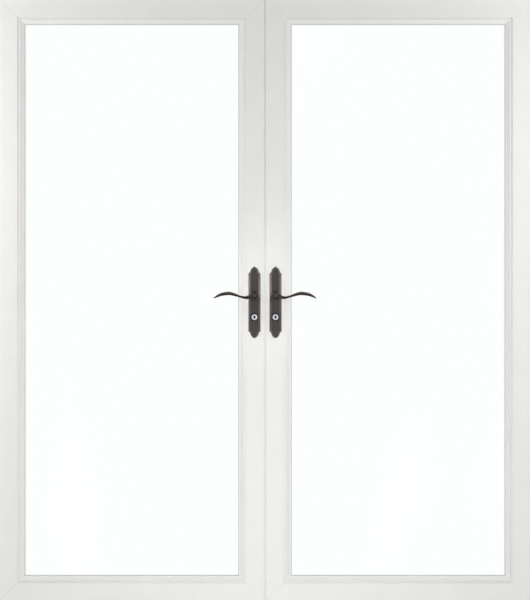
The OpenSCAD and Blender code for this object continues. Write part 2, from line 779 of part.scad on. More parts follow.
// Grooves along the frame's two mitres, on its outside and inside faces
module frame_welds() {
    for (side = [-1, 1], y = [-frame_inside_y, frame_inside_y])
        weld_groove([side * frame_in_x, frame_in_z], [side * frame_out_x, frame_out_z], y);
}
module jamb() {
    color(vinyl) difference() {
        intersection() {
            translate([-frame_in_x, 0, 0])
                mirror([1, 0, 0]) linear_extrude(frame_out_z) frame_section();
            through_frame([[-frame_in_x, 0], [-frame_in_x, frame_in_z], [-frame_out_x, frame_out_z],
                           [-frame_out_x, 0]]);
        }
        for (z = [fixing_inset, frame_out_z - fixing_inset])
            translate([-frame_out_x - eps, 0, z])
                rotate([0, 90, 0]) cylinder(d = fixing_d, h = frame_face + 2 * eps);
        frame_welds();
    }
}
module frame_left_jamb() jamb();
module frame_right_jamb() right_side() jamb();

// The recess and hole of one keep, drawn with the frame's face at z = 0 and the frame above it
module keep_cut() {
    translate([0, 0, -eps]) linear_extrude(keep_t + eps) rounded_rectangle(keep_w, keep_l, keep_r);
    translate([0, 0, -eps]) cylinder(d = bolt_d + 2 * keep_room, h = bolt_throw + eps);
}
module keep() {
    difference() {
        linear_extrude(keep_t) rounded_rectangle(keep_w, keep_l, keep_r);
        translate([0, 0, -eps]) cylinder(d = bolt_d + 2 * keep_room, h = keep_t + 2 * eps);
    }
}
// Places at which the shoot bolts meet the head and the sill
module at_head_keeps() {
    for (side = [-1, 1]) translate([side * bolt_x, lock_y, frame_in_z]) children();
}
module at_sill_keeps() {
    for (side = [-1, 1]) translate([side * bolt_x, lock_y, sill_h]) mirror([0, 0, 1]) children();
}
module head_keeps() color(steel) at_head_keeps() keep();
module sill_keeps() color(steel) at_sill_keeps() keep();

module frame_head() {
    color(vinyl) difference() {
        intersection() {
            translate([-frame_out_x, 0, frame_in_z]) mirror([0, 0, 1])
                rotate([0, 90, 0]) linear_extrude(2 * frame_out_x) frame_section();
            through_frame([[-frame_in_x, frame_in_z], [frame_in_x, frame_in_z],
                           [frame_out_x, frame_out_z], [-frame_out_x, frame_out_z]]);
        }
        at_head_keeps() keep_cut();
        frame_welds();
    }
}
// Section of the sill: a flat seat under the leaf, then a slope to the nose
module sill_section() {
    nose_y = -frame_d / 2 - sill_nose;
    slope = (sill_h - sill_nose_h) / (leaf_y - nose_y);
    difference() {
        polygon([[nose_y, 0], [frame_inside_y, 0], [frame_inside_y, sill_h], [leaf_y, sill_h],
                 [nose_y, sill_nose_h]]);
        polygon([[nose_y + wall, wall], [leaf_y, wall], [leaf_y, sill_h - wall - slope * wall],
                 [nose_y + wall, sill_nose_h - wall]]);
        translate([leaf_y + wall, wall])
            square([frame_inside_y - leaf_y - 2 * wall, sill_h - 2 * wall - keep_t]);
    }
}
module frame_sill() {
    color(vinyl) difference() {
        translate([-frame_in_x, 0, 0]) rotate([90, 0, 90]) linear_extrude(2 * frame_in_x) sill_section();
        at_sill_keeps() keep_cut();
    }
}
module frame_seal() {
    seal_u = -frame_gap - (flange_w - frame_gap - seal_w) / 2;
    color(black_rubber) difference() {
        seal_slab(seal_w - seal_u, 0);
        seal_slab(-seal_u, eps);
    }
}
// A slab on the frame's inside face that reaches past the pair of leaves by a margin
module seal_slab(margin, over) {
    translate([-pair_half - margin, frame_inside_y - over, leaf_z - margin])
        cube([2 * (pair_half + margin), seal_room - sliding + 2 * over, leaf_h + 2 * margin]);
}

frame_head();
frame_left_jamb();
frame_right_jamb();
frame_sill();
frame_seal();
head_keeps();
sill_keeps();
hinge_frame_plates();  // left_hinge_frame_plates
right_side() hinge_frame_plates();  // right_hinge_frame_plates
hinge_pins();  // left_hinge_pins
right_side() hinge_pins();  // right_hinge_pins
left_meeting_seal();
right_deadbolt();
hinge_stile();  // left_hinge_stile
meeting_stile();  // left_meeting_stile
top_rail();  // left_top_rail
bottom_rail();  // left_bottom_rail
glazing_beads();  // left_glazing_beads
outer_pane();  // left_outer_pane
inner_pane();  // left_inner_pane
glass_spacer();  // left_glass_spacer
glazing_gaskets();  // left_glazing_gaskets
setting_blocks();  // left_setting_blocks
outer_escutcheon();  // left_outer_escutcheon
inner_escutcheon();  // left_inner_escutcheon
lock_case();  // left_lock_case
lock_face_plate();  // left_lock_face_plate
lock_cylinder();  // left_lock_cylinder
hinge_leaf_plates();  // left_hinge_leaf_plates
outer_lever();  // left_outer_lever
inner_lever();  // left_inner_lever
spindle();  // left_spindle
cylinder_plug();  // left_cylinder_plug
thumbturn();  // left_thumbturn
upper_bolt();  // left_upper_bolt
lower_bolt();  // left_lower_bolt
right_side() hinge_stile();  // right_hinge_stile
right_side() meeting_stile();  // right_meeting_stile
right_side() top_rail();  // right_top_rail
right_side() bottom_rail();  // right_bottom_rail
right_side() glazing_beads();  // right_glazing_beads
right_side() outer_pane();  // right_outer_pane
right_side() inner_pane();  // right_inner_pane
right_side() glass_spacer();  // right_glass_spacer
right_side() glazing_gaskets();  // right_glazing_gaskets
right_side() setting_blocks();  // right_setting_blocks
right_side() outer_escutcheon();  // right_outer_escutcheon
right_side() inner_escutcheon();  // right_inner_escutcheon
right_side() lock_case();  // right_lock_case
right_side() lock_face_plate();  // right_lock_face_plate
right_side() lock_cylinder();  // right_lock_cylinder
right_side() hinge_leaf_plates();  // right_hinge_leaf_plates
right_side() outer_lever();  // right_outer_lever
right_side() inner_lever();  // right_inner_lever
right_side() spindle();  // right_spindle
right_side() cylinder_plug();  // right_cylinder_plug
right_side() thumbturn();  // right_thumbturn
right_side() upper_bolt();  // right_upper_bolt
right_side() lower_bolt();  // right_lower_bolt
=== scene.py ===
"""French doors: the finish of every piece, the turned and cast hardware, and a plain studio."""
import json
import math

import bmesh
import bpy
from mathutils import Matrix, Vector
from mathutils.geometry import interpolate_bezier

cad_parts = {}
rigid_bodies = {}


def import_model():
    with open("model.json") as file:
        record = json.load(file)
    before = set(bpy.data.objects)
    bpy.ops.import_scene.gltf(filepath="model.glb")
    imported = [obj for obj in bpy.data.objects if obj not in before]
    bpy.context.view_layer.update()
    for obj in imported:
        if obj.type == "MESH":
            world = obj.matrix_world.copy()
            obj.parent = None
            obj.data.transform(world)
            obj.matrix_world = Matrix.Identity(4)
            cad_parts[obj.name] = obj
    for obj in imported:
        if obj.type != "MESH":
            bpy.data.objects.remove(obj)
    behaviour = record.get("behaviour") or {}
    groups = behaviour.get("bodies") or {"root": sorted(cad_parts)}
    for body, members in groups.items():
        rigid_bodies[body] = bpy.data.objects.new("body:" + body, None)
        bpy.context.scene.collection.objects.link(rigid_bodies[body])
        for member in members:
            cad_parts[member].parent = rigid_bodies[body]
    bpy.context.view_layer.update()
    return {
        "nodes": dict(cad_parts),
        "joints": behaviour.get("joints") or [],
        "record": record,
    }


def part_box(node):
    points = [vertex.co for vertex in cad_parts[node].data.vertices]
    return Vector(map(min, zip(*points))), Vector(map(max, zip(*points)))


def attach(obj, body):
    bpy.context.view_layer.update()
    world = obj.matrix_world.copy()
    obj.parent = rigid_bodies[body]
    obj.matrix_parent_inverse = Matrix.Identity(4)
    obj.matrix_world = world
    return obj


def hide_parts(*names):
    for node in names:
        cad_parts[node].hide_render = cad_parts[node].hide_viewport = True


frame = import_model()

MM = 0.001
SIDES = ("left", "right")
scene = bpy.context.scene
nodes = frame["nodes"]
joints = {j["name"]: j for j in frame["joints"]}


# Materials

def linear(code):
    """An sRGB hex colour as linear RGBA."""
    parts = [int(code[i:i + 2], 16) / 255 for i in (1, 3, 5)]
    return tuple(c / 12.92 if c <= 0.04045 else ((c + 0.055) / 1.055) ** 2.4 for c in parts) + (1,)


def add(tree, kind, inputs=(), **settings):
    """Adds a node; inputs maps a socket to a value, or to the node or the socket that feeds it."""
    made = tree.nodes.new("ShaderNode" + kind)
    for name, value in settings.items():
        setattr(made, name, value)
    for socket, value in dict(inputs).items():
        if isinstance(value, bpy.types.Node):
            value = next(out for out in value.outputs if out.enabled)
        if isinstance(value, bpy.types.NodeSocket):
            tree.links.new(value, made.inputs[socket])
        else:
            made.inputs[socket].default_value = value
    return made


def new_material(name):
    """An empty node material, with its tree and its Object coordinates in metres."""
    made = bpy.data.materials.new(name)
    made.use_nodes = True
    tree = made.node_tree
    tree.nodes.clear()
    return made, tree, add(tree, "TexCoord").outputs["Object"]


def extruded_vinyl(name, along):
    """Rigid PVC: satin white with softly rounded arrises, faint die lines along it, and a slow waver in
    its gloss."""
    made, tree, place = new_material(name)
    # Real die lines are finer; they are drawn 1.5 mm apart so that a close view shows them
    stretched = add(tree, "Mapping", {"Vector": place, "Scale": along})
    die_lines = add(tree, "TexNoise", {"Vector": stretched, "Scale": 650, "Detail": 3})
    waver = add(tree, "TexNoise", {"Vector": place, "Scale": 14, "Detail": 2})
    arris = add(tree, "Bevel", {"Radius": 0.7 * MM}, samples=4)
    white = add(tree, "Mix", {0: waver, 6: linear("#E9E9E6"), 7: linear("#EFEFED")}, data_type="RGBA")
    shader = add(tree, "BsdfPrincipled", {
        "Base Color": white, "IOR": 1.53,
        "Roughness": add(tree, "MapRange", {"Value": waver, "To Min": 0.36, "To Max": 0.46}),
        "Normal": add(tree, "Bump", {"Height": die_lines, "Distance": 0.02 * MM, "Normal": arris})})
    add(tree, "OutputMaterial", {"Surface": shader})
    return made


def float_glass():
    """Soda-lime float glass: clear, with a trace of green, and flat but for a long roller wave."""
    made, tree, place = new_material("float_glass")
    stretched = add(tree, "Mapping", {"Vector": place, "Scale": (1, 1, 0.3)})
    wave = add(tree, "TexNoise", {"Vector": stretched, "Scale": 4, "Detail": 0})
    tint = add(tree, "Mix", {0: wave, 6: linear("#FCFFFE"), 7: linear("#FFFFFF")}, data_type="RGBA")
    shader = add(tree, "BsdfPrincipled", {
        "Base Color": tint, "Roughness": 0, "IOR": 1.52, "Transmission Weight": 1,
        "Normal": add(tree, "Bump", {"Height": wave, "Distance": 0.05 * MM})})
    add(tree, "OutputMaterial", {"Surface": shader})
    return made


# Distances from the doors' middle between which the painted highlight round a handle's axis fades out,
# and between which the painted highlight on its grip begins
HUB_END = (46 * MM, 62 * MM)
GRIP_START = (70 * MM, 105 * MM)


def rubbed_bronze(name, dark, pale, rough, grip_highlight=None, crown_highlight=None):
    """Oil-rubbed bronze: a dark patina, cloudy in tone and gloss, over a fine brushed grain. On a handle
    the crown round its axis is painted paler, a painted highlight for the light it mirrors there, and the
    upper side of the grip is painted brown: wear through the patina, and a painted highlight where light
    from above falls."""
    made, tree, place = new_material(name)
    clouds = add(tree, "TexNoise", {"Vector": place, "Scale": 70, "Detail": 4})
    stretched = add(tree, "Mapping", {"Vector": place, "Scale": (1, 1, 0.2)})
    grain = add(tree, "TexNoise", {"Vector": stretched, "Scale": 1800, "Detail": 3})
    colour = add(tree, "Mix", {0: clouds, 6: linear(dark), 7: linear(pale)}, data_type="RGBA")
    if grip_highlight:
        faces = add(tree, "SeparateXYZ", {0: place.node.outputs["Normal"]})
        where = add(tree, "SeparateXYZ", {0: place})
        aside = add(tree, "Math", {0: where.outputs["X"]}, operation="ABSOLUTE")
        outward = add(tree, "Math", {0: faces.outputs["Y"]}, operation="ABSOLUTE")
        # Painted highlight: faces that look straight out from the leaf, near a handle's axis, are painted
        # paler, for the light the metal mirrors there
        crown = add(tree, "MapRange", {"Value": outward, "From Min": 0.7, "From Max": 0.98})
        near_axis = add(tree, "MapRange", {"Value": aside, "From Min": HUB_END[1], "From Max": HUB_END[0]})
        crown_highlight_share = add(tree, "Math", {0: crown, 1: near_axis}, operation="MULTIPLY")
        colour = add(tree, "Mix", {0: crown_highlight_share, 6: colour, 7: linear(crown_highlight)}, data_type="RGBA")
        # Painted highlight: the grip is painted brown where it faces up, towards light from above, and
        # mottled by the clouds like wear
        uneven = add(tree, "Math", {0: clouds, 1: 0.5, 2: -0.25}, operation="MULTIPLY_ADD")
        wear_and_top_light = add(tree, "Math", {0: faces.outputs["Z"], 1: uneven}, operation="ADD")
        upper = add(tree, "MapRange", {"Value": wear_and_top_light, "From Min": -0.25, "From Max": 1.0})
        grip = add(tree, "MapRange", {"Value": aside, "From Min": GRIP_START[0], "From Max": GRIP_START[1]})
        grip_highlight_share = add(tree, "Math", {0: upper, 1: grip}, operation="MULTIPLY")
        colour = add(tree, "Mix", {0: grip_highlight_share, 6: colour, 7: linear(grip_highlight)}, data_type="RGBA")
    gloss = add(tree, "MapRange", {"Value": clouds, "To Min": rough - 0.07, "To Max": rough + 0.07})
    shader = add(tree, "BsdfPrincipled", {
        "Base Color": colour, "Metallic": 0.85, "Roughness": gloss,
        "Normal": add(tree, "Bump", {"Height": grain, "Distance": 0.012 * MM})})
    add(tree, "OutputMaterial", {"Surface": shader})
    return made


def plated_metal(name, dark, pale, rough):
    """A plated metal: bright, with a soft mottle in its plating over the tool's fine scratches."""
    made, tree, place = new_material(name)
    mottle = add(tree, "TexNoise", {"Vector": place, "Scale": 120, "Detail": 4})
    scratches = add(tree, "TexNoise", {"Vector": place, "Scale": 2500, "Detail": 2})
    arris = add(tree, "Bevel", {"Radius": 0.3 * MM}, samples=4)
    gloss = add(tree, "MapRange", {"Value": mottle, "To Min": rough - 0.06, "To Max": rough + 0.06})
    shader = add(tree, "BsdfPrincipled", {
        "Base Color": add(tree, "Mix", {0: mottle, 6: linear(dark), 7: linear(pale)}, data_type="RGBA"),
        "Metallic": 1, "Roughness": gloss,
        "Normal": add(tree, "Bump", {"Height": scratches, "Distance": 0.004 * MM, "Normal": arris})})
    add(tree, "OutputMaterial", {"Surface": shader})
    return made


def mill_aluminium():
    """Roll-formed aluminium: pale and dull, with rolling lines along it and rows of vent holes, each a
    darker dot of painted shade.
    """
    made, tree, place = new_material("mill_aluminium")
    stretched = add(tree, "Mapping", {"Vector": place, "Scale": (0.03, 1, 0.03)})
    lines = add(tree, "TexNoise", {"Vector": stretched, "Scale": 1600, "Detail": 2})
    # Painted shade: the vent holes aren't cut; each is a darker dot, for the shade inside a hole
    holes = add(tree, "TexVoronoi", {"Vector": place, "Scale": 260, "Randomness": 0})
    vent = add(tree, "MapRange", {"Value": holes, "From Min": 0.16, "From Max": 0.2})
    rolled = add(tree, "Mix", {0: lines, 6: linear("#C2C4C6"), 7: linear("#D4D6D7")}, data_type="RGBA")
    shader = add(tree, "BsdfPrincipled", {
        "Base Color": add(tree, "Mix", {0: vent, 6: linear("#6A6C6E"), 7: rolled}, data_type="RGBA"),
        "Metallic": 1,
        "Roughness": add(tree, "MapRange", {"Value": lines, "To Min": 0.34, "To Max": 0.46}),
        "Normal": add(tree, "Bump", {"Height": lines, "Distance": 0.008 * MM})})
    add(tree, "OutputMaterial", {"Surface": shader})
    return made


def seal_rubber(name, dark, pale):
    """EPDM rubber: matte, with a slight bloom in patches and a fine skin texture."""
    made, tree, place = new_material(name)
    bloom = add(tree, "TexNoise", {"Vector": place, "Scale": 80, "Detail": 3})
    skin = add(tree, "TexNoise", {"Vector": place, "Scale": 2000, "Detail": 2})
    shader = add(tree, "BsdfPrincipled", {
        "Base Color": add(tree, "Mix", {0: bloom, 6: linear(dark), 7: linear(pale)}, data_type="RGBA"),
        "Roughness": add(tree, "MapRange", {"Value": bloom, "To Min": 0.62, "To Max": 0.78}),
        "Normal": add(tree, "Bump", {"Height": skin, "Distance": 0.03 * MM})})
    add(tree, "OutputMaterial", {"Surface": shader})
    return made


def powder_coat():
    """Polyester powder coat on zinc: white, with the fine orange peel of baked powder."""
    made, tree, place = new_material("powder_coat")
    peel = add(tree, "TexNoise", {"Vector": place, "Scale": 620, "Detail": 1})
    white = add(tree, "Mix", {0: peel, 6: linear("#E8E8E5"), 7: linear("#EEEEEC")}, data_type="RGBA")
    shader = add(tree, "BsdfPrincipled", {
        "Base Color": white,
        "Roughness": add(tree, "MapRange", {"Value": peel, "To Min": 0.3, "To Max": 0.4}),
        "Normal": add(tree, "Bump", {"Height": peel, "Distance": 0.03 * MM})})
    add(tree, "OutputMaterial", {"Surface": shader})
    return made


vinyl_upright = extruded_vinyl("extruded_vinyl_upright", (1, 1, 0.0025))
vinyl_level = extruded_vinyl("extruded_vinyl_level", (0.0025, 1, 1))
glass = float_glass()
plate_bronze = rubbed_bronze("oil_rubbed_bronze", "#434140", "#504D4C", 0.42)
worn_bronze = rubbed_bronze("worn_bronze", "#5A4E4B", "#736762", 0.38)
# Near black for the handles, with a painted pale highlight round their axes and a painted brown highlight on
# the upper side of their grips
dark_bronze = rubbed_bronze("dark_bronze", "#211D1C", "#302927", 0.3, grip_highlight="#7A665E", crown_highlight="#474342")
# Near black: the collars' own colour, and painted shade inside the keyways
black_bronze = rubbed_bronze("black_bronze", "#151313", "#1F1C1B", 0.34)
nickel = plated_metal("bright_nickel", "#D0D6DE", "#E1E6ED", 0.22)
brass = plated_metal("pin_brass", "#C08A3E", "#D9A95A", 0.38)
zinc = plated_metal("zinc_plated_steel", "#A9AEB4", "#C6CACD", 0.34)
aluminium = mill_aluminium()
grey_rubber = seal_rubber("grey_rubber", "#C4C6C7", "#D0D2D3")
white_rubber = seal_rubber("white_rubber", "#E6E6E3", "#EDEDEB")
black_rubber = seal_rubber("black_rubber", "#1D1D1E", "#2A2A2B")
coat = powder_coat()

LEVEL_NODES = ("top_rail", "bottom_rail", "frame_head", "frame_sill")
SLOT_MATERIALS = {
    "hinge_white": coat, "clear_glass": glass, "spacer": aluminium, "grey_rubber": grey_rubber,
    "white_rubber": white_rubber, "black_rubber": black_rubber, "bronze": plate_bronze,
    "dark_bronze": dark_bronze, "steel": zinc, "chrome": nickel}


def finish_cad_nodes():
    """Gives each CAD node the material of its slot."""
    for part in frame["record"]["subparts"]:
        node, slot = part["node"], part["material_slot"]
        vinyl = vinyl_level if node.endswith(LEVEL_NODES) else vinyl_upright
        mesh = nodes[node].data
        mesh.materials.clear()
        mesh.materials.append(vinyl if slot == "vinyl" else SLOT_MATERIALS[slot])


finish_cad_nodes()


# Shaping tools

SHARP = math.radians(38)


def flat_ring(bm, outline, z=0):
    """The edges of a closed outline of (x, y) points at one height."""
    corners = [bm.verts.new((x, y, z)) for x, y in outline]
    return [bm.edges.new(pair) for pair in zip(corners, corners[1:] + corners[:1])]


def circle(bm, radius, y=0, z=0, segments=48):
    """The edges of a circle about an upright axis."""
    made = bmesh.ops.create_circle(
        bm, segments=segments, radius=radius, matrix=Matrix.Translation((0, y, z)))["verts"]
    return list({edge for vert in made for edge in vert.link_edges})


def pull(bm, edges, matrix):
    """Extrudes a ring of edges, moves the new ring by a matrix, and returns its edges and the new faces."""
    made = bmesh.ops.extrude_edge_only(bm, edges=edges)["geom"]
    ends = {g for g in made if isinstance(g, bmesh.types.BMVert)}
    ring = [g for g in made if isinstance(g, bmesh.types.BMEdge) and set(g.verts) <= ends]
    bmesh.ops.transform(bm, matrix=matrix, verts=list(ends))
    return ring, [g for g in made if isinstance(g, bmesh.types.BMFace)]


def fill(bm, edges):
    """Fills the flat area between closed rings of edges."""
    made = bmesh.ops.triangle_fill(bm, use_beauty=True, use_dissolve=False, edges=edges)["geom"]
    return [g for g in made if isinstance(g, bmesh.types.BMFace)]


def turn(bm, profile, segments=48, closed=False, place=Matrix.Identity(4)):
    """Turns a profile of (radius, height) points about the upright axis, puts it in place, and returns
    its faces."""
    old = set(bm.verts)
    points = [bm.verts.new((radius, 0, height)) for radius, height in profile]
    ends = points[1:] + points[:1] if closed else points[1:]
    edges = [bm.edges.new(pair) for pair in zip(points, ends)]
    bmesh.ops.spin(bm, geom=points + edges, cent=(0, 0, 0), axis=(0, 0, 1), dvec=(0, 0, 0),
                   angle=math.tau, steps=segments, use_merge=True, use_duplicate=False)
    bmesh.ops.remove_doubles(bm, verts=[v for v in bm.verts if v not in old], dist=1e-4)
    made = [v for v in bm.verts if v not in old]
    bmesh.ops.transform(bm, matrix=place, verts=made)
    return {face for vert in made for face in vert.link_faces}


def round_edges(bm, edges, radius, segments):
    """Rounds edges that meet at more than a slight angle."""
    sharp = [edge for edge in edges if edge.calc_face_angle(0) > SHARP]
    bmesh.ops.bevel(bm, geom=sharp, offset=radius, offset_type="OFFSET", segments=segments, profile=0.5,
                    affect="EDGES", clamp_overlap=True, material=-1)


def join(bm, drawing, place=Matrix.Identity(4)):
    """Adds a drawing to another one at a place."""
    bmesh.ops.transform(drawing, matrix=place, verts=drawing.verts)
    mesh = bpy.data.meshes.new("drawing")
    drawing.to_mesh(mesh)
    drawing.free()
    bm.from_mesh(mesh)
    bpy.data.meshes.remove(mesh)


def block(bm, low, high, corner=0, rim=0.6):
    """A block between two corners, with its four edges along z rounded first and then all its rims."""
    drawing = bmesh.new()
    size = [b - a for a, b in zip(low, high)]
    middle = [(a + b) / 2 for a, b in zip(low, high)]
    bmesh.ops.create_cube(drawing, size=1, matrix=Matrix.Translation(middle) @ Matrix.Diagonal((*size, 1)))
    if corner:
        round_edges(drawing, [e for e in drawing.edges if e.verts[0].co.z != e.verts[1].co.z], corner, 6)
    round_edges(drawing, drawing.edges, rim, 2)
    join(bm, drawing)


def piece(name, bm, place, materials, body, replaced=()):
    """Puts a drawing in its place as a named piece that rides on a body, smooth but for its sharp edges."""
    bmesh.ops.transform(bm, matrix=place, verts=bm.verts)
    bmesh.ops.recalc_face_normals(bm, faces=bm.faces)
    for face in bm.faces:
        face.smooth = True
    for edge in bm.edges:
        edge.smooth = edge.calc_face_angle(math.pi) < SHARP
    mesh = bpy.data.meshes.new(name)
    bm.to_mesh(mesh)
    bm.free()
    for material in materials:
        mesh.materials.append(material)
    made = bpy.data.objects.new(name, mesh)
    scene.collection.objects.link(made)
    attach(made, body)
    if replaced:
        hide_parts(*replaced)
    return made


def screw(bm, place, radius):
    """A countersunk screw with a cross recess, its head just proud of the face it holds."""
    drawing = bmesh.new()
    proud, arm, bar, recess = 0.3, 0.62 * radius, 0.15 * radius, 1.2
    quarter = ((arm, -bar), (arm, bar), (bar, bar))
    turns = ((1, 0), (0, 1), (-1, 0), (0, -1))
    cross = flat_ring(drawing, [(x * c - y * s, x * s + y * c) for c, s in turns for x, y in quarter], proud)
    flat = 0.9
    rim = circle(drawing, flat * radius, z=proud, segments=32)
    fill(drawing, rim + cross)
    cross, _ = pull(drawing, cross, Matrix.Translation((0, 0, -recess)))
    bmesh.ops.edgeloop_fill(drawing, edges=cross)
    wider = Matrix.Diagonal((1 / flat, 1 / flat, 1, 1))
    rim, _ = pull(drawing, rim, Matrix.Translation((0, 0, -proud)) @ wider)
    rim, _ = pull(drawing, rim, Matrix.Translation((0, 0, -recess)))
    bmesh.ops.edgeloop_fill(drawing, edges=rim)
    join(bm, drawing, place)


# Places that the frame gives, in millimetres

def box_mm(node):
    """The corners of a node's box in millimetres."""
    low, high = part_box(node)
    return low / MM, high / MM


def width_mm(node):
    """How wide a node is."""
    low, high = box_mm(node)
    return high.x - low.x


# How far a leaf's inside flange laps past its edge; a stile's box has it at both ends
FLANGE_W = 16
stile_low, stile_high = box_mm("left_hinge_stile")
leaf_foot, leaf_top = stile_low.z + FLANGE_W, stile_high.z - FLANGE_W
plate_low, plate_high = box_mm("left_outer_escutcheon")
face_y, back_y = stile_low.y, stile_high.y
lever_at = Vector(joints["left_lever_lift"]["pos_m"]) / MM
key_at = Vector(joints["left_key_turn"]["pos_m"]) / MM
cylinder_drop = lever_at.z - key_at.z
plate_w = plate_high.x - plate_low.x
plate_h = plate_high.z - plate_low.z
plate_mid = (plate_high.z + plate_low.z) / 2 - lever_at.z
collar_top = face_y - plate_low.y
cylinder_r = width_mm("left_lock_cylinder") / 2
cylinder_top = face_y - box_mm("left_lock_cylinder")[0].y
plug_r = width_mm("left_cylinder_plug") / 2
lever_reach = lever_at.x - box_mm("left_outer_lever")[0].x


# Handles, drawn in millimetres with x towards the meeting edge, y up and z out of the leaf

def on_leaf(side, face, joint="lever_lift"):
    """The matrix that takes a handle's drawing to its axis on one face of a leaf."""
    x, _, z = joints[f"{side}_{joint}"]["pos_m"]
    along = 1 if side == "left" else -1
    out, y = (-1, face_y * MM) if face == "outer" else (1, back_y * MM)
    axes = Matrix(((along, 0, 0, x), (0, 0, out, y), (0, 1, 0, z), (0, 0, 0, 1)))
    return axes @ Matrix.Scale(MM, 4)


def bezier(start, lift, lean, stop, count):
    """Points along a curve between two points, without its last one."""
    points = [Vector((x, y, 0)) for x, y in (start, lift, lean, stop)]
    return [(p.x, p.y) for p in interpolate_bezier(*points, count + 1)[:-1]]


def plate_outline():
    """The plate's outline about its own middle: shoulders and arches, with a nub at the upper tip."""
    tip, side = plate_h / 2, plate_w / 2
    shoulder_w, shoulder_h, arch_h, nub = 4.8, 3, 19.5, 5
    arch, foot = side - shoulder_w, tip - arch_h
    angles = [math.radians(degrees) for degrees in range(25, 90, 10)]
    cap = [(nub * math.cos(a), tip - nub + nub * math.sin(a)) for a in angles]
    start, lift = (arch, foot), (0.87 * arch, foot + 0.35 * arch_h)
    upper = [(side, foot - shoulder_h)]
    upper += bezier(start, lift, (0.8 * arch, tip - 0.33 * arch_h), cap[0], 14) + cap
    lower = [(side, foot - shoulder_h)]
    lower += bezier(start, lift, (0.72 * arch, tip - 0.13 * arch_h), (0, tip), 18)
    right = [(x, -y) for x, y in reversed(lower)] + upper
    return [(0, -tip)] + right + [(0, tip)] + [(-x, y) for x, y in reversed(right)]


# The plate's edge as (distance in from its outline, height): a low wall, a bevel and a flat face
PLATE_EDGE = ((0, 2.2), (0.2, 2.8), (0.8, 3.3), (6.2, 8.2), (6.8, 8.7), (7.6, 9))
WORN_FROM, WORN_TO = 2.5, 8.5
COLLAR_R = 14
NECK_R = 9


def escutcheon(side, face):
    """A cast plate with bevelled edges, rubbed brown along them, and two black collars."""
    bm = bmesh.new()
    foot = flat_ring(bm, plate_outline())
    ring, share_w, share_h, height = foot, 1, 1, 0
    for inset, z in PLATE_EDGE:
        new_w, new_h = 1 - 2 * inset / plate_w, 1 - inset / plate_h
        step = Matrix.Diagonal((new_w / share_w, new_h / share_h, 1, 1))
        ring, walls = pull(bm, ring, Matrix.Translation((0, 0, z - height)) @ step)
        share_w, share_h, height = new_w, new_h, z
        for wall in walls:
            wall.material_index = 1 if WORN_FROM < z < WORN_TO else 0
    axes = ((-plate_mid, NECK_R), (-plate_mid - cylinder_drop, cylinder_r))
    holes = [circle(bm, COLLAR_R - 1, y=y, z=height) for y, _ in axes]
    fill(bm, ring + sum(holes, []))
    feet = [pull(bm, hole, Matrix.Translation((0, 0, -height)))[0] for hole in holes]
    fill(bm, foot + sum(feet, []))
    top, under = collar_top, height - 3
    for y, bore in axes:
        collar = turn(bm, (
            (bore + 0.1, under), (COLLAR_R, under), (COLLAR_R, top - 1.2), (COLLAR_R - 0.35, top - 0.35),
            (COLLAR_R - 1.2, top), (bore + 0.8, top), (bore + 0.3, top - 0.2), (bore + 0.1, top - 0.7)),
            segments=64, closed=True, place=Matrix.Translation((0, y, 0)))
        for part in collar:
            part.material_index = 2
    bmesh.ops.translate(bm, vec=(0, plate_mid, 0), verts=bm.verts)
    piece(f"{side}_{face}_plate", bm, on_leaf(side, face), (plate_bronze, worn_bronze, black_bronze),
          f"{side}_leaf", [f"{side}_{face}_escutcheon"])


# The lever's course: share of its reach, and in millimetres its rise, half height, half depth and drop
# towards the leaf
LEVER_COURSE = (
    (0.00, -1, 10.5, 6.5, 0), (0.10, -2.6, 8.8, 6.3, 0), (0.14, -5, 6.6, 6, 0), (0.225, -7.4, 4.6, 5.5, 0),
    (0.36, -2.9, 3.8, 5, 0), (0.48, 2.7, 5.2, 5, 0), (0.62, 6.8, 5.9, 5, 0), (0.80, 4, 5.5, 4.5, 1),
    (0.92, -2.6, 4, 3.2, 3), (0.985, -8, 1.9, 1.9, 4), (1.00, -9.2, 1.2, 1.2, 4))
LEVER_OUT = 46
BALL_R = 13.5


def lever_stations(steps=8):
    """The lever's course as a smooth curve through its stations."""
    last = len(LEVER_COURSE) - 1
    for k in range(last * steps + 1):
        i = min(k // steps, last - 1)
        t = k / steps - i
        a, b, c, d = (Vector(LEVER_COURSE[max(0, min(last, i + n))]) for n in (-1, 0, 1, 2))
        square, cube = 2 * a - 5 * b + 4 * c - d, 3 * b - a - 3 * c + d
        yield 0.5 * (2 * b + (c - a) * t + square * t ** 2 + cube * t ** 3)


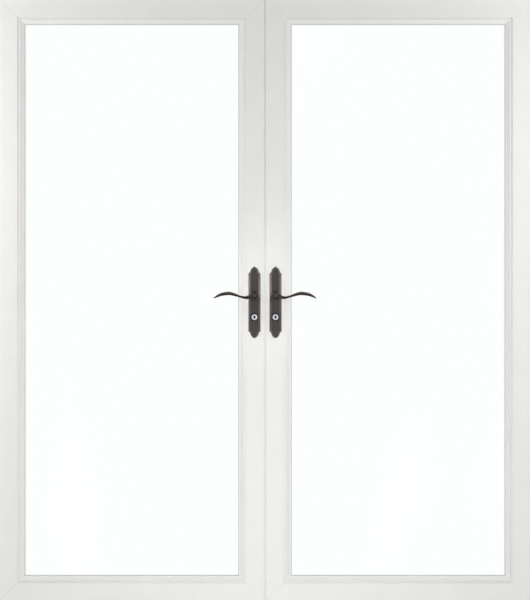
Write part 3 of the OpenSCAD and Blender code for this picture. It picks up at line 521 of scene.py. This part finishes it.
def lever(side, face):
    """A cast lever: a turned neck and ball that run into a tapering wave, blended into one skin."""
    bm = bmesh.new()
    base = collar_top + 0.3
    neck = [(0, base), (11.6, base), (12.3, base + 0.7), (12.3, base + 2.8), (11.4, base + 3.8),
            (9, base + 5.5), (8.4, base + 9), (8.4, LEVER_OUT - BALL_R - 2)]
    angles = [math.radians(degrees) for degrees in range(-50, 90, 8)]
    ball = [(BALL_R * math.cos(a), LEVER_OUT + BALL_R * math.sin(a)) for a in angles]
    turn(bm, neck + ball + [(0, LEVER_OUT + BALL_R)])
    ring, before = circle(bm, 1, segments=24), Matrix.Identity(4)
    root = {vert for edge in ring for vert in edge.verts}
    for share, rise, half_h, half_d, drop in lever_stations():
        station = (Matrix.Translation((-share * lever_reach, rise, LEVER_OUT - drop))
                   @ Matrix.Rotation(math.pi / 2, 4, "Y") @ Matrix.Diagonal((half_d, half_h, 1, 1)))
        ring, _ = pull(bm, ring, station @ before.inverted())
        before = station
    bmesh.ops.delete(bm, geom=list(root), context="VERTS")
    bmesh.ops.holes_fill(bm, edges=[edge for edge in bm.edges if edge.is_boundary])
    made = piece(f"{side}_{face}_handle", bm, on_leaf(side, face), (dark_bronze,),
                 f"{side}_lever", [f"{side}_{face}_lever"])
    skin = made.modifiers.new("one_skin", "REMESH")
    skin.mode = "VOXEL"
    skin.voxel_size = 0.8 * MM
    skin.use_smooth_shade = True
    blend = made.modifiers.new("blend", "SMOOTH")
    blend.factor = 0.5
    blend.iterations = 10


cylinder_l = back_y - face_y + 2 * cylinder_top


def key_cylinder(side):
    """A nickel-plated cylinder with eased rims, seen in the collar on both faces of the leaf."""
    bm = bmesh.new()
    bore = plug_r + 0.05
    near = [(bore, 0.4), (bore + 0.4, 0),
            (cylinder_r - 0.8, 0), (cylinder_r - 0.25, 0.25), (cylinder_r, 0.8)]
    far = [(radius, cylinder_l - height) for radius, height in reversed(near)]
    turn(bm, near + far, segments=64, closed=True,
         place=Matrix.Translation((0, 0, cylinder_top - cylinder_l)))
    piece(f"{side}_key_cylinder", bm, on_leaf(side, "outer", "key_turn"), (nickel,),
          f"{side}_leaf", [f"{side}_lock_cylinder"])


KEYWAY_W, KEYWAY_H, KEYWAY_L = 2.6, 8.6, 28
MOUTH_W, MOUTH_H, MOUTH_T = 6.4, 9.6, 1.5


def key_plug(side):
    """The plug: a nickel face with a keyway that widens at its mouth, its inside painted near-black as
    shade, and a brass pin in it.
    """
    bm = bmesh.new()
    ease = 0.5
    rim = circle(bm, plug_r - ease, segments=64)
    half_w, half_h = MOUTH_W / 2, MOUTH_H / 2
    way = flat_ring(bm, ((-half_w, -half_h), (half_w, -half_h), (half_w, half_h), (-half_w, half_h)))
    fill(bm, rim + way)
    # Painted shade: the keyway's walls and floor take the near-black bronze, for the shade inside the slot
    dark = []
    narrow = Matrix.Diagonal((KEYWAY_W / MOUTH_W, KEYWAY_H / MOUTH_H, 1, 1))
    funnel = Matrix.Translation((0, 0, -MOUTH_T)) @ narrow
    for step in (funnel, Matrix.Translation((0, 0, MOUTH_T - KEYWAY_L))):
        way, walls = pull(bm, way, step)
        dark += walls
    dark += bmesh.ops.edgeloop_fill(bm, edges=way)["faces"]
    for wall in dark:
        wall.material_index = 1
    wider = plug_r / (plug_r - ease)
    rim, _ = pull(bm, rim, Matrix.Translation((0, 0, -ease)) @ Matrix.Diagonal((wider, wider, 1, 1)))
    rim, _ = pull(bm, rim, Matrix.Translation((0, 0, ease - cylinder_l)))
    bmesh.ops.edgeloop_fill(bm, edges=rim)
    pin_at = Matrix.Translation((0, 1 - KEYWAY_H / 2, -MOUTH_T - 0.6))
    pin = bmesh.ops.create_uvsphere(bm, u_segments=16, v_segments=10, radius=1.25, matrix=pin_at)["verts"]
    for part in {face for vert in pin for face in vert.link_faces}:
        part.material_index = 2
    bmesh.ops.translate(bm, vec=(0, 0, cylinder_top), verts=bm.verts)
    piece(f"{side}_key_plug", bm, on_leaf(side, "outer", "key_turn"), (nickel, black_bronze, brass),
          f"{side}_turn", [f"{side}_cylinder_plug"])


def turn_knob(side):
    """The thumbturn on the inside: a round base and an oblong wing with softly rounded edges."""
    bm = bmesh.new()
    base, wing_r, wing_t, wing_half = cylinder_top + 0.3, 9, 8, 7
    turn(bm, ((0, base), (cylinder_r - 0.6, base), (cylinder_r, base + 0.6), (cylinder_r, base + 6),
              (cylinder_r - 1.2, base + 8), (cylinder_r - 3.5, base + 9), (0, base + 9)), segments=64)
    wing = bmesh.new()
    edge = circle(wing, wing_r)
    for end in (-1, 1):
        half = [vert for vert in wing.verts if vert.co.x * end > 1e-6]
        bmesh.ops.translate(wing, vec=(end * wing_half, 0, 0), verts=half)
    front = bmesh.ops.edgeloop_fill(wing, edges=edge)["faces"]
    made = bmesh.ops.extrude_face_region(wing, geom=front)["geom"]
    back = [g for g in made if isinstance(g, bmesh.types.BMVert)]
    bmesh.ops.translate(wing, vec=(0, 0, wing_t), verts=back)
    round_edges(wing, wing.edges, 2.4, 5)
    upright = Matrix.Rotation(math.pi / 2, 4, "X")
    join(bm, wing, Matrix.Translation((0, wing_t / 2, base + wing_r)) @ upright)
    piece(f"{side}_turn_knob", bm, on_leaf(side, "inner", "key_turn"), (dark_bronze,), f"{side}_turn",
          [f"{side}_thumbturn"])


PLATE_SCREW_INSET = 34


def plate_screws(side):
    """Two screws through the inside plate, which hold both plates from indoors."""
    bm = bmesh.new()
    for end in (-1, 1):
        y = plate_mid + end * (plate_h / 2 - PLATE_SCREW_INSET)
        screw(bm, Matrix.Translation((0, y, PLATE_EDGE[-1][1])), radius=4)
    piece(f"{side}_plate_screws", bm, on_leaf(side, "inner"), (worn_bronze,), f"{side}_leaf")


# Hinges, drawn in millimetres about their axis, with x towards the meeting edge, y up and z indoors

HINGE_H, HINGE_INSET = 100, 200
HINGE_PLATE_W, HINGE_PLATE_T = 44, 4
HINGE_SCREWS = ((14, 36), (14, -36), (34, 16), (34, -16))
KNUCKLE_R, PIN_R, FOOT_R = 9, 4, 6
leaf_knuckle_h = 0.4 * HINGE_H
foot_h = (HINGE_H - leaf_knuckle_h) / 2 - 1.5
hinge_at = Vector(joints["left_leaf_swing"]["pos_m"]) / MM
hinge_zs = [leaf_foot + HINGE_INSET, (leaf_foot + leaf_top) / 2, leaf_top - HINGE_INSET]
plate_from = KNUCKLE_R + 1.5
foot_z = box_mm("left_hinge_frame_plates")[0].y - hinge_at.y
UPRIGHT = Matrix.Rotation(-math.pi / 2, 4, "X")


def at_hinge(side, z):
    """The matrix that takes a hinge's drawing to its place."""
    x, y, _ = joints[f"{side}_leaf_swing"]["pos_m"]
    along = 1 if side == "left" else -1
    return Matrix(((along, 0, 0, x), (0, 0, 1, y), (0, 1, 0, z * MM), (0, 0, 0, 1))) @ Matrix.Scale(MM, 4)


def knuckle(bm, low, high):
    """A barrel with eased rims round the pin, between two heights."""
    rim = ((PIN_R + 0.1, 0), (KNUCKLE_R - 0.8, 0), (KNUCKLE_R - 0.2, 0.3), (KNUCKLE_R, 0.9))
    lower = [(radius, low + rise) for radius, rise in rim]
    upper = [(radius, high - rise) for radius, rise in reversed(rim)]
    turn(bm, lower + upper, closed=True, place=UPRIGHT)


def hinges(side):
    """Three butt hinges: screwed plates on the leaf, feet on the frame, and pins with domed heads."""
    on_door, on_frame, pins, screws = (bmesh.new() for _ in range(4))
    top, middle = HINGE_H / 2, leaf_knuckle_h / 2
    for z in hinge_zs:
        place = at_hinge(side, z)
        drawing = bmesh.new()
        plate_to = plate_from + HINGE_PLATE_W
        block(drawing, (plate_from, -top, 0), (plate_to, top, HINGE_PLATE_T), corner=8, rim=0.8)
        block(drawing, (0, -middle, 0.2), (plate_from + 8, middle, HINGE_PLATE_T - 0.2))
        knuckle(drawing, -middle, middle)
        join(on_door, drawing, place)
        drawing = bmesh.new()
        block(drawing, (-KNUCKLE_R, -top, foot_z), (KNUCKLE_R, top, foot_z + HINGE_PLATE_T), rim=0.8)
        for low in (-top, top - foot_h):
            block(drawing, (-FOOT_R, low, foot_z + 1), (FOOT_R, low + foot_h, 0))
            knuckle(drawing, low, low + foot_h)
        join(on_frame, drawing, place)
        drawing = bmesh.new()
        turn(drawing, ((0, -top), (PIN_R, -top), (PIN_R, top), (PIN_R + 2, top), (PIN_R + 2, top + 2),
                       (PIN_R + 1.4, top + 3.2), (PIN_R - 0.5, top + 3.8), (0, top + 4)), place=UPRIGHT)
        join(pins, drawing, place)
        drawing = bmesh.new()
        for x, y in HINGE_SCREWS:
            screw(drawing, Matrix.Translation((plate_from + x, y, HINGE_PLATE_T)), radius=4.5)
        join(screws, drawing, place)
    same = Matrix.Identity(4)
    leaf = f"{side}_leaf"
    piece(f"{side}_door_hinges", on_door, same, (coat,), leaf, [f"{side}_hinge_leaf_plates"])
    piece(f"{side}_frame_hinges", on_frame, same, (coat,), "frame",
          [f"{side}_hinge_frame_plates"])
    piece(f"{side}_pins", pins, same, (zinc,), "frame", [f"{side}_hinge_pins"])
    piece(f"{side}_hinge_screws", screws, same, (zinc,), leaf)


# The gasket's lip as (distance in from the edge of the bead, height above the glass)
LIP_EDGE = ((2.5, 0), (2.1, 1.6), (1, 3.2), (-0.3, 3.6), (-0.3, 0))
# How far the beads cover the pane's edge
PANE_BITE = 17


def glass_lip(side):
    """The lip of the outer gasket, which shows as a thin grey line round the glass."""
    bm = bmesh.new()
    low, high = box_mm(f"{side}_outer_pane")
    half_w, half_h = (high.x - low.x) / 2 - PANE_BITE, (high.z - low.z) / 2 - PANE_BITE
    rings, share_w, share_h, height = [], 1, 1, 0
    for inset, z in LIP_EDGE:
        new_w, new_h = half_w - inset, half_h - inset
        if not rings:
            corners = ((-new_w, -new_h), (new_w, -new_h), (new_w, new_h), (-new_w, new_h))
            rings.append(flat_ring(bm, corners))
        else:
            step = Matrix.Diagonal((new_w / share_w, new_h / share_h, 1, 1))
            rings.append(pull(bm, rings[-1], Matrix.Translation((0, 0, z - height)) @ step)[0])
        share_w, share_h, height = new_w, new_h, z
    bmesh.ops.bridge_loops(bm, edges=rings[0] + rings[-1])
    x, z = (low.x + high.x) / 2, (low.z + high.z) / 2
    axes = Matrix(((1, 0, 0, x), (0, 0, -1, low.y), (0, 1, 0, z), (0, 0, 0, 1)))
    piece(f"{side}_glass_lip", bm, Matrix.Scale(MM, 4) @ axes, (grey_rubber,), f"{side}_leaf")


FACE_SCREWS, FACE_SCREW_INSET = 6, 30


def face_plate_screws(side):
    """A row of screws down the lock's face plate, in the meeting edge."""
    bm = bmesh.new()
    low, high = box_mm(f"{side}_lock_face_plate")
    x, towards = (high.x, 1) if side == "left" else (low.x, -1)
    y, z_from, z_to = (low.y + high.y) / 2, low.z + FACE_SCREW_INSET, high.z - FACE_SCREW_INSET
    facing = Matrix.Rotation(towards * math.pi / 2, 4, "Y")
    for k in range(FACE_SCREWS):
        z = z_from + (z_to - z_from) * k / (FACE_SCREWS - 1)
        screw(bm, Matrix.Translation((x, y, z)) @ facing, radius=3.5)
    piece(f"{side}_face_plate_screws", bm, Matrix.Scale(MM, 4), (zinc,), f"{side}_leaf")


KEEP_W = 24
KEEP_SCREW_X, KEEP_SCREW_Y = 8.4, 8.9


def keep_screws():
    """Two screws in opposite corners of each keep plate in the head and the sill."""
    bm = bmesh.new()
    for node, facing in (("head_keeps", math.pi), ("sill_keeps", 0)):
        low, high = box_mm(node)
        z = low.z if facing else high.z
        for keep_x in (low.x + KEEP_W / 2, high.x - KEEP_W / 2):
            for end in (-1, 1):
                at = (keep_x + end * KEEP_SCREW_X, (low.y + high.y) / 2 + end * KEEP_SCREW_Y, z)
                screw(bm, Matrix.Translation(at) @ Matrix.Rotation(facing, 4, "X"), radius=2.4)
    piece("keep_screws", bm, Matrix.Scale(MM, 4), (zinc,), "frame")


for side in SIDES:
    for face in ("outer", "inner"):
        escutcheon(side, face)
        lever(side, face)
    key_cylinder(side)
    key_plug(side)
    turn_knob(side)
    plate_screws(side)
    hinges(side)
    glass_lip(side)
    face_plate_screws(side)
keep_screws()


# Studio

def seen(tree):
    """1 for what the camera sees, straight or through glass or a mirror, and 0 for light on the doors."""
    path = add(tree, "LightPath").outputs
    straight = add(tree, "Math", {0: path["Is Camera Ray"], 1: path["Is Glossy Ray"]}, operation="MAXIMUM")
    return add(tree, "Math", {0: straight, 1: path["Is Transmission Ray"]}, operation="MAXIMUM")


def studio_world():
    """White behind the doors and in what they mirror, and an even, weaker light from all round."""
    world = bpy.data.worlds.new("studio")
    world.use_nodes = True
    tree = world.node_tree
    tree.nodes.clear()
    strength = add(tree, "MapRange", {"Value": seen(tree), "To Min": 0.44, "To Max": 1})
    light = add(tree, "Background", {"Color": linear("#FFFFFF"), "Strength": strength})
    add(tree, "OutputWorld", {"Surface": light})
    scene.world = world


def studio_lamp(name, place, target, size, power, spread=180, mirrored=True, shadow=True):
    """A soft lamp at a place, turned to a target; one that stands before the glass isn't mirrored in it."""
    data = bpy.data.lights.new(name, "AREA")
    data.shape = "RECTANGLE"
    data.size, data.size_y = size
    data.energy = power
    data.spread = math.radians(spread)
    data.use_shadow = shadow
    lamp = bpy.data.objects.new(name, data)
    lamp.location = place
    lamp.rotation_euler = (Vector(target) - Vector(place)).to_track_quat("-Z", "Y").to_euler()
    lamp.visible_camera = False
    lamp.visible_glossy = mirrored
    lamp.visible_transmission = False
    scene.collection.objects.link(lamp)
    return lamp


def studio_floor():
    """A pale round floor that fades into the white behind it and keeps the doors' shadow."""
    radius = 1.9
    bm = bmesh.new()
    bmesh.ops.create_circle(bm, cap_ends=True, segments=96, radius=radius)
    mesh = bpy.data.meshes.new("floor")
    bm.to_mesh(mesh)
    bm.free()
    made, tree, place = new_material("floor_paper")
    distance = add(tree, "VectorMath", {0: place}, operation="LENGTH").outputs["Value"]
    fade = add(tree, "MapRange", {
        "Value": distance, "From Min": 0.55 * radius, "From Max": radius}, interpolation_type="SMOOTHSTEP")
    fibres = add(tree, "TexNoise", {"Vector": place, "Scale": 300, "Detail": 3})
    pale = add(tree, "Mix", {0: fibres, 6: linear("#F0F0EE"), 7: linear("#F4F4F2")}, data_type="RGBA")
    paper = add(tree, "BsdfDiffuse", {"Color": pale})
    glow = add(tree, "Emission", {"Strength": add(tree, "MapRange", {"Value": seen(tree), "To Max": 0.35})})
    lifted = add(tree, "AddShader", {0: paper, 1: glow})
    clear = add(tree, "BsdfTransparent")
    add(tree, "OutputMaterial", {"Surface": add(tree, "MixShader", {0: fade, 1: lifted, 2: clear})})
    mesh.materials.append(made)
    floor = bpy.data.objects.new("floor", mesh)
    scene.collection.objects.link(floor)


def studio_camera():
    """A long lens straight in front, with the two leaves filling the picture."""
    # The leaves' edges lie about a pixel outside the picture, so that the gap to the frame isn't seen
    picture_h, leaf_px = 600, 602.2
    distance = 16
    leaf_h = (leaf_top - leaf_foot) * MM
    data = bpy.data.cameras.new("camera")
    data.sensor_width = 36
    data.lens = data.sensor_width * distance / (leaf_h * picture_h / leaf_px)
    data.clip_end = 200
    camera = bpy.data.objects.new("camera", data)
    camera.location = (0, face_y * MM - distance, (leaf_foot + leaf_top) / 2 * MM)
    camera.rotation_euler = (math.pi / 2, 0, 0)
    scene.collection.objects.link(camera)
    scene.camera = camera


def leaf_pieces(side):
    """A collection of all that belongs to one side."""
    made = bpy.data.collections.new(f"{side}_leaf_pieces")
    for thing in bpy.data.objects:
        if thing.type == "MESH" and thing.name.startswith(side):
            made.objects.link(thing)
    return made


def studio_lamps():
    """Each leaf lit from its own outer side, from below and from behind, and a weak spot on the handles."""
    for side, out in (("left", -1), ("right", 1)):
        lamp = studio_lamp(f"{side}_side_lamp", (out * 1.7, -0.8, 1.7), (out * 0.6, 0, 1.6),
                           size=(0.4, 1.0), power=8.5)
        # The photo has no frame, so the frame casts no shadow of this lamp on the leaf
        lamp.light_linking.blocker_collection = leaf_pieces(side)
        studio_lamp(f"{side}_low_lamp", (out * 0.2, -1.8, 0.2), (out * 0.05, 0, 0.9),
                    size=(0.8, 0.3), power=7.0, mirrored=False, shadow=False)
        studio_lamp(f"{side}_back_lamp", (out * 2.4, 3.2, 2.2), (0, 0, 1.0), size=(1.5, 1.5), power=34)
    studio_lamp("handle_lamp", (0, -1.6, 1.05), (0, 0, 1.05), size=(0.2, 0.2), power=0.06, spread=22,
                mirrored=False, shadow=False)


scene.view_settings.view_transform = "Standard"
studio_world()
studio_floor()
studio_camera()
studio_lamps()
